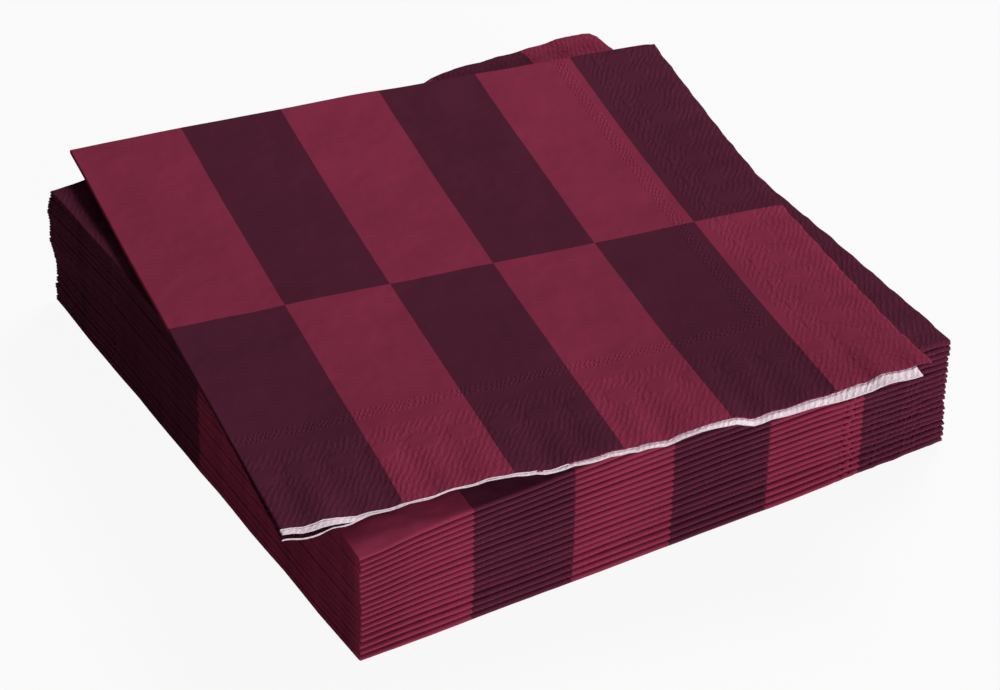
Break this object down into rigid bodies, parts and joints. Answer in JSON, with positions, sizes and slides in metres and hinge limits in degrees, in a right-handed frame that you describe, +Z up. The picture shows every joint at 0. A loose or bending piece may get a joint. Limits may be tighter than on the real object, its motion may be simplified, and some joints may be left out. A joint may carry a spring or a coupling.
{
  "type": "stack of paper napkins",
  "caption": "Stack of square quarter-folded paper napkins with rounded folded edges, the top one lying turned and curled; they wipe hands and line a place setting.",
  "frame": {"origin": "centre of the stack's underside, on the surface that it stands on", "axes": "+X to the right along the stack's front folded edge, +Y from front to back, +Z up"},
  "size_m": [0.1881, 0.1902, 0.0383],
  "materials": {
    "printed_tissue": "matte"
  },
  "bodies": {
    "root": {"napkin_01": "printed_tissue", "napkin_02": "printed_tissue", "napkin_03": "printed_tissue", "napkin_04": "printed_tissue", "napkin_05": "printed_tissue", "napkin_06": "printed_tissue", "napkin_07": "printed_tissue", "napkin_08": "printed_tissue", "napkin_09": "printed_tissue", "napkin_10": "printed_tissue", "napkin_11": "printed_tissue", "napkin_12": "printed_tissue", "napkin_13": "printed_tissue", "napkin_14": "printed_tissue", "napkin_15": "printed_tissue", "napkin_16": "printed_tissue", "napkin_17": "printed_tissue", "napkin_18": "printed_tissue", "napkin_19": "printed_tissue", "top_napkin": "printed_tissue"}
  },
  "joints": []
}
